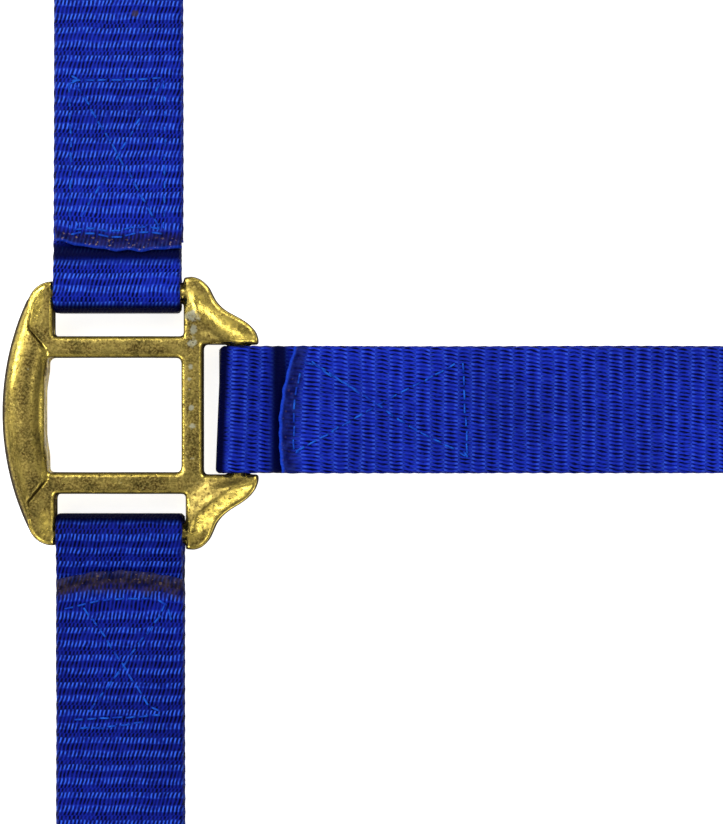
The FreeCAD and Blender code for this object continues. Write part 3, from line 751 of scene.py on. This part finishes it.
loop_end = [(c[0], c[1] + PITCH, c[2]) for c in start_end(BAR_R, TAIL, 1)][::-1]
nose_run = 2 * NOSE_LENGTH + PITCH
folded_strap("nose_strap", NOSE_BAR, NORTH, NOSE_LENGTH, BAR_TO_CUT, BLUE_NOSE, loop_end,
             ([(nose_run + 15, nose_run + 60)], [(nose_run - 75, nose_run)]),
             ((0, plain_cut), (1, nose_bow)), stain=(55.9, -3.4, 0.85))
stitches("nose_thread", [
    [(11.6, 9.8), (12.2, 6), (11.0, 0), (12.4, -5), (11.8, -9.2)],
    [(12.6, 9.4), (13.1, 5), (12.2, 1), (13.4, -4.5), (12.8, -8.6)],
    [(12.0, -9.1), (28, -9.4), (42.9, -9.1)],
    [(42.9, -9.1), (42.5, 9.9)],
    [(42.5, 9.9), (27, 9.4), (12.0, 9.8)],
    [(12.6, 8.9), (42.2, -8.6)],
    [(12.8, -8.4), (27, -0.4), (42.0, 8.6)],
    [(43.4, 9.6), (41.8, 8.8), (42.9, 7.6), (41.6, 9.9)],
], NOSE_BAR, NORTH, PITCH + WEB_FACE, 1, "halter", 5, sunk=(2, 4, 5))
stitches("nose_thread_off", box_x(*OFF_SEAM, 6), NOSE_BAR, NORTH, -WEB_FACE, -1, "halter", 6)

double_strap("near_chin", "near_chin", NEAR_CHIN_BAR, SOUTH, NEAR_CHIN_LENGTH, 1, BLUE_CHIN,
             tails=(SHORT_TAIL + PLY, SHORT_TAIL), tongue=True, fine=[(0, NEAR_CHIN_LENGTH)],
             bows=(chin_bow, plain_cut), seed=41, shift=-0.3, painted_shadow_bars=(NEAR_CHIN_LENGTH,), sewn=[
                 [(15.2, -11.5), (14.4, -8), (13.4, -4), (12.9, 1), (13.0, 6.5)],
                 [(13.4, 9.2), (16.5, 8.0), (25.0, 1.6), (35.9, -6.4)],
                 [(14.6, -7.6), (20, -3.4), (26.5, 0.6), (35.0, 6.2), (35.6, 8.2)],
                 [(37.2, -9.6), (36.8, 0), (36.2, 8.4)],
                 [(38.9, -8.4), (38.7, -2), (37.6, 5)],
                 [(13.2, 7.2), (14.4, 9.6), (17.6, 10.2)],
             ])
double_strap("near_cheek", "near_cheek", NEAR_CHEEK_BAR, EAST, CHEEK_LENGTH, 1, BLUE_CHEEK,
             fine=[(0, CHEEK_LENGTH)], bows=(cheek_bow, plain_cut), seed=51, skew=1.0, sewn=[
                 [(12.6, 7.6), (11.7, 4), (11.2, -2), (11.3, -8.4)],
                 [(13.0, 9.6), (16.6, 8.6), (27.4, 1.4), (34, -3.2), (43.6, -8.0)],
                 [(14.4, 10.0), (17.0, 7.9), (24.2, 3.6)],
                 [(11.4, -8.6), (19, -4.4), (28, 1), (36, 5), (44.0, 9.4)],
                 [(45.2, 9.7), (45.6, 0), (45.9, -9.2)],
                 [(44.0, -8.4), (45.4, -9.6), (46.6, -9.0), (45.0, -7.9), (46.2, -9.8)],
                 [(11.2, -8.8), (12.4, -9.4), (12.8, -8.4)],
             ])
double_strap("off_cheek", "halter", OFF_CHEEK_BAR, EAST, CHEEK_LENGTH, -1, BLUE_CHEEK, seed=61)
double_strap("off_chin", "halter", OFF_CHIN_BAR, SOUTH, OFF_CHIN_LENGTH, -1, BLUE_CHIN,
             radii=(BAR_R, RING_R), seed=71)
double_strap("throat_strap", "halter", THROAT_BAR, SOUTH, THROAT_LENGTH, -1, BLUE_CHIN, seed=81)

crown_bar = Vector((CROWN_BAR_X, CROWN_Y, OFF_Z))
folded_strap("crown_strap", crown_bar, EAST, CROWN_LENGTH, CROWN_TIP, BLUE_CHEEK, [(CROWN_TIP, PITCH, 0)],
             ([], []), ((0, plain_cut),), tip=True, holes=CROWN_EYELETS)
stitches("crown_thread_off", box_x(*OFF_SEAM, 7), crown_bar, EAST, -WEB_FACE, -1, "halter", 7)


def tip_line(tip, inward, reach):
    """The row of stitches that runs round a free tip, a little inside its edge."""
    turn = [(math.sin(a), math.cos(a)) for a in np.linspace(0, math.pi, 13)]
    near = tip + inward * TIP_R
    half = WEB_WIDTH / 2 - TIP_R
    radius = TIP_R - TIP_INSET
    bend = [(near - inward * radius * a, math.copysign(half, b) + radius * b) for a, b in turn]
    return [(tip + inward * reach, bend[0][1])] + bend + [(tip + inward * reach, bend[-1][1])]


crown_row = tip_line(CROWN_TIP, 1, CROWN_LENGTH - CROWN_TIP - 4)
stitches("crown_thread", [crown_row], crown_bar, EAST, PITCH + WEB_FACE, 1, "halter", 8)
tab_bar = Vector((CROWN_BAR_X, CROWN_Y, NEAR_Z))
double_strap("crown_tab", "crown_tab", tab_bar, EAST, TAB_LENGTH, 1, BLUE_CHEEK,
             tails=(SHORT_TAIL, SHORT_TAIL), tongue=True, seed=91)

billet_bar = Vector((CHIN_X, BILLET_BAR_Y, OFF_Z))
billet_inner = start_end(RING_R, SHORT_TAIL, -1) + [(BILLET_LENGTH, 0, 0)]
billet_outer = [(BAR_TO_CUT, -PLY, 0), (BILLET_LENGTH, -PLY, 0)]
strip_mesh("chin_billet_inner_web", billet_inner, billet_bar, SOUTH, BLUE_CHIN, "chin_billet", "chin_billet_inner",
           tip=True, holes=CHIN_EYELETS, seed=95)
strip_mesh("chin_billet_outer_web", billet_outer, billet_bar, SOUTH, BLUE_CHIN, "chin_billet", "chin_billet_outer",
           cuts=((0, plain_cut),), tip=True, holes=CHIN_EYELETS, seed=96)
billet_rows = [tip_line(BILLET_LENGTH, -1, BILLET_LENGTH - SEAM_START), [(SEAM_START, -9.4), (SEAM_START, 9.4)]]
stitches("chin_billet_thread", billet_rows, billet_bar, SOUTH, -WEB_FACE, -1, "chin_billet", 9)
stitches("chin_billet_thread_back", billet_rows, billet_bar, SOUTH, PLY / 2 - SKIN, 1, "chin_billet", 10)

jaw_bar = Vector((RING_BAR_X, RING_Y, OFF_Z))
jaw_end = high("jaw_strap_inner").x - RING_BAR_X
overlap = jaw_end - WEB_WIDTH
jaw_inner = start_end(RING_R, TAIL, -1)
jaw_inner += [(overlap - 4 * PLY, 0, BEND), (overlap - PLY, PLY, BEND), (jaw_end, PLY, 0)]
jaw_outer = [(BAR_TO_CUT, -PLY, 0), (overlap - PLY, -PLY, 0)]
strip_mesh("jaw_strap_inner_web", jaw_inner, jaw_bar, EAST, BLUE_CHIN, "halter", "jaw_strap_inner",
           cuts=((1, plain_cut),), seed=97)
strip_mesh("jaw_strap_outer_web", jaw_outer, jaw_bar, EAST, BLUE_CHIN, "halter", "jaw_strap_outer",
           cuts=((0, plain_cut), (1, plain_cut)), seed=98)
stitches("jaw_thread_off", box_x(*OFF_SEAM, 11), jaw_bar, EAST, -WEB_FACE, -1, "halter", 11)
stitches("jaw_thread", box_x(overlap + 3, jaw_end - 3, 12), jaw_bar, EAST, WEB_FACE, 1, "halter", 12)


def keeper(node, body, heading, material):
    """The woven band round a strap that holds the billet's end down."""
    a, b = low(node), high(node)
    centre = (a + b) / 2
    wide = abs((b - a).dot(heading[0])) / 2 - KEEPER_WALL / 2
    tall = (b.z - a.z) / 2 - KEEPER_WALL / 2
    corners = [(0, -tall, 0), (wide, -tall, 1.2), (wide, tall, 1.2), (-wide, tall, 1.2), (-wide, -tall, 1.2),
               (0, -tall, 0)]
    strip_mesh(node + "_web", corners, centre, heading, material, body, node, columns=30, seed=99,
               width=abs((b - a).dot(heading[1])), ply=KEEPER_WALL)


keeper("chin_keeper", "near_chin", EAST, BLUE_CHIN)
keeper("crown_keeper", "crown_tab", NORTH, BLUE_CHEEK)


# Metal

def shoulder_highlight_and_wear(place, normals, steep, rims, window, turned):
    """Raise a square's shoulders, take most of the painted highlight off the D-bar's edges and weaken the painted
    shade on its inner flanks, and say where painted highlights go, partly rubbed wear, and what is grey.
    """
    x, y = (place[:, :2] - np.array(window)).T
    if turned:
        x, y = -y, x
    from_rim = SHOULDER_OUT - SHOULDER_FACING[0] * x - SHOULDER_FACING[1] * np.abs(y)
    shoulder = smooth((x - 14.0) / 3.0) * smooth((np.abs(y) - 12.5) / 2.5)
    place[:, 2] += np.exp(-((from_rim - 4.4) / 2.4) ** 2) * shoulder * normals[:, 2]
    inside = D_BAR_R - np.hypot(x - D_BAR_CENTRE[0], y - D_BAR_CENTRE[1])
    # Most of the painted highlight comes off the D-bar's edges.
    rims *= 1 - 0.85 * ((x < -14.2) & (np.abs(y) < 21) & (inside < 7.4))
    # Less painted shade on the D-bar's inner flanks.
    steep *= 1 - 0.6 * smooth((-11.5 - x) / 1.0) * smooth((x + 17.0) / 1.0) * smooth((18.5 - np.abs(y)) / 2.0)
    # Painted highlight, partly rubbed wear: a band round each shoulder, a streak along the upper half of the
    # D-bar's outer edge and spots at its two ends.
    painted_highlight_and_rub = np.exp(-((from_rim - 2.3) / 1.5) ** 2) * shoulder * 0.95
    painted_highlight_and_rub += np.exp(-((inside - 1.9) / 0.9) ** 2) * smooth((y - 1) / 10) * (x < -14)
    painted_highlight_and_rub += np.exp(-((x + 15.2) / 0.6) ** 2 - ((y - 22.5) / 3.0) ** 2)
    painted_highlight_and_rub += np.exp(-((x + 13.6) / 1.0) ** 2 - ((y + 22.5) / 2.6) ** 2) * 0.8
    rng = np.random.RandomState(9)
    patina = np.zeros(len(x))
    for along, size in GREY_SPOTS:
        across = RIGHT_RIB + rng.uniform(-0.5, 0.5) + max(0, along - 14) * 0.1
        patina += np.clip(1.3 - np.hypot(x - across, y - along) / size, 0, 1)
    return painted_highlight_and_rub, patina


def cast(node, body, voxel, material, rounding=3, window=None, turned=False):
    """A copy of a solid with softened edges and the unevenness of a casting."""
    copy = bpy.data.objects.new(node + "_copy", frame["nodes"][node].data.copy())
    bpy.context.scene.collection.objects.link(copy)
    remesh = copy.modifiers.new("remesh", "REMESH")
    remesh.mode = "VOXEL"
    remesh.voxel_size = voxel * MM
    soften = copy.modifiers.new("soften", "SMOOTH")
    soften.factor = 0.5
    soften.iterations = rounding
    mesh = bpy.data.meshes.new_from_object(copy.evaluated_get(bpy.context.evaluated_depsgraph_get()))
    bpy.data.objects.remove(copy)
    flat = np.zeros(len(mesh.vertices) * 3, np.float32)
    mesh.vertices.foreach_get("co", flat)
    place = flat.reshape(-1, 3).astype(float) / MM
    mesh.vertices.foreach_get("normal", flat)
    normals = flat.reshape(-1, 3)
    uneven = ripple(place @ [0.8, 0.5, 0.3], 3, 2.1) + ripple(place @ [-0.5, 0.8, 0.4], 4, 1.7)
    place += normals * uneven[:, None] * UNEVEN
    # steep sets the painted shade on the flanks, and rims marks the edges that get a painted highlight.
    steep = 1 - np.abs(normals[:, 2])
    rims = smooth((steep - 0.012) / 0.05) * smooth((0.42 - steep) / 0.16)
    if window is None:
        # Rings, buckles and the snap get a half-strength painted highlight on their edges and no painted shade on
        # their flanks.
        painted_highlight_and_rub, patina, steep = 0.5 * rims, 0 * rims, 0 * steep
    else:
        painted_highlight_and_rub, patina = shoulder_highlight_and_wear(place, normals, steep, rims, window, turned)
        # On the squares the painted highlight is at least as strong as on the edges.
        painted_highlight_and_rub = np.clip(np.maximum(painted_highlight_and_rub, rims), 0, 1)
    mesh.vertices.foreach_set("co", (place * MM).astype(np.float32).ravel())
    add_piece(node + "_cast", mesh, material, body, [node],
              {"patina": patina, "painted_highlight_and_rub": painted_highlight_and_rub, "steep": steep})


BODY = {node: body for body, members in frame["record"]["behaviour"]["bodies"].items() for node in members}
WINDOW = (low("near_halter_square").x + FROM_D_BAR, high("near_halter_square").y - FROM_SHOULDERS)
UPPER = (low("near_cheek_square").x + FROM_SHOULDERS, high("near_cheek_square").y - FROM_D_BAR)
cast("near_halter_square", "near_square", 0.3, BRASS, 8, WINDOW)
cast("off_halter_square", "halter", 0.42, BRASS, 3, WINDOW)
cast("near_cheek_square", "near_upper_square", 0.42, BRASS, 3, UPPER, True)
cast("off_cheek_square", "halter", 0.42, BRASS, 3, UPPER, True)
for node in ("chin_ring", "chin_buckle_frame", "crown_buckle_frame", "chin_buckle_tongue", "crown_buckle_tongue",
             "snap_swivel_eye", "snap_body"):
    cast(node, BODY[node], 0.36, BRASS)
for node in ("chin_buckle_roller", "crown_buckle_roller", "snap_bolt", "chin_eyelets", "crown_eyelets"):
    cast(node, BODY[node], 0.25, BRASS_SMOOTH, 2)
spring = frame["nodes"]["snap_spring"]
spring.data.materials.clear()
spring.data.materials.append(STEEL)


# White floor, soft light and the straight-on camera

def white_floor():
    """A floor that shows white behind the object and keeps its shadow."""
    material, tree, shader = new_material("white_floor")
    shader.inputs["Base Color"].default_value = (0.9, 0.9, 0.9, 1)
    shader.inputs["Roughness"].default_value = 0.9
    shader.inputs["Emission Color"].default_value = (1, 1, 1, 1)
    paths = tree.nodes.new("ShaderNodeLightPath")
    seen = Signal(tree, paths.outputs["Is Camera Ray"])
    for ray in ("Is Glossy Ray", "Is Transmission Ray"):
        seen = seen.math("MAXIMUM", Signal(tree, paths.outputs[ray]))
    tree.links.new((seen * 0.88).socket, shader.inputs["Emission Strength"])
    mesh = bpy.data.meshes.new("floor")
    size = 6.0
    corners = [(-size, -size, 0), (size, -size, 0), (size, size, 0), (-size, size, 0)]
    mesh.from_pydata(corners, [], [(0, 1, 2, 3)])
    mesh.materials.append(material)
    floor = bpy.data.objects.new("floor", mesh)
    floor.location.z = -0.3 * MM
    bpy.context.scene.collection.objects.link(floor)


def softbox(name, place, aim, size, power):
    """A square lamp that faces the aim."""
    light = bpy.data.lights.new(name, "AREA")
    light.shape = "RECTANGLE"
    light.size = light.size_y = size
    light.energy = power
    lamp = bpy.data.objects.new(name, light)
    lamp.location = place
    lamp.rotation_mode = "QUATERNION"
    lamp.rotation_quaternion = (Vector(place) - Vector(aim)).to_track_quat("Z", "Y")
    bpy.context.scene.collection.objects.link(lamp)


def studio():
    """A dim even sky that shows white."""
    sky = bpy.data.worlds.new("studio")
    bpy.context.scene.world = sky
    sky.use_nodes = True
    tree = sky.node_tree
    back = tree.nodes["Background"]
    back.inputs["Color"].default_value = (1, 1, 1, 1)
    paths = tree.nodes.new("ShaderNodeLightPath")
    strength = Signal(tree, paths.outputs["Is Camera Ray"]) * 0.78 + 0.22
    tree.links.new(strength.socket, back.inputs["Strength"])


def camera(aim, height, lens=300.0):
    """A long lens straight above the near square, framed on a strip of height metres."""
    data = bpy.data.cameras.new("camera")
    data.sensor_width = 36.0
    data.lens = lens
    data.clip_start = 0.01
    data.clip_end = 50.0
    eye = bpy.data.objects.new("camera", data)
    eye.location = aim + UP * height * lens / data.sensor_width
    bpy.context.scene.collection.objects.link(eye)
    bpy.context.scene.camera = eye


bpy.context.scene.view_settings.view_transform = "Standard"
white_floor()
studio()
aim = Vector((WINDOW[0] + VIEW_SHIFT[0], WINDOW[1] + VIEW_SHIFT[1], NEAR_Z + 1.5 * PLY)) * MM
for name, offset, size, power in SOFTBOXES:
    softbox(name, aim + Vector(offset), aim, size, power)
camera(aim, VIEW_HEIGHT)
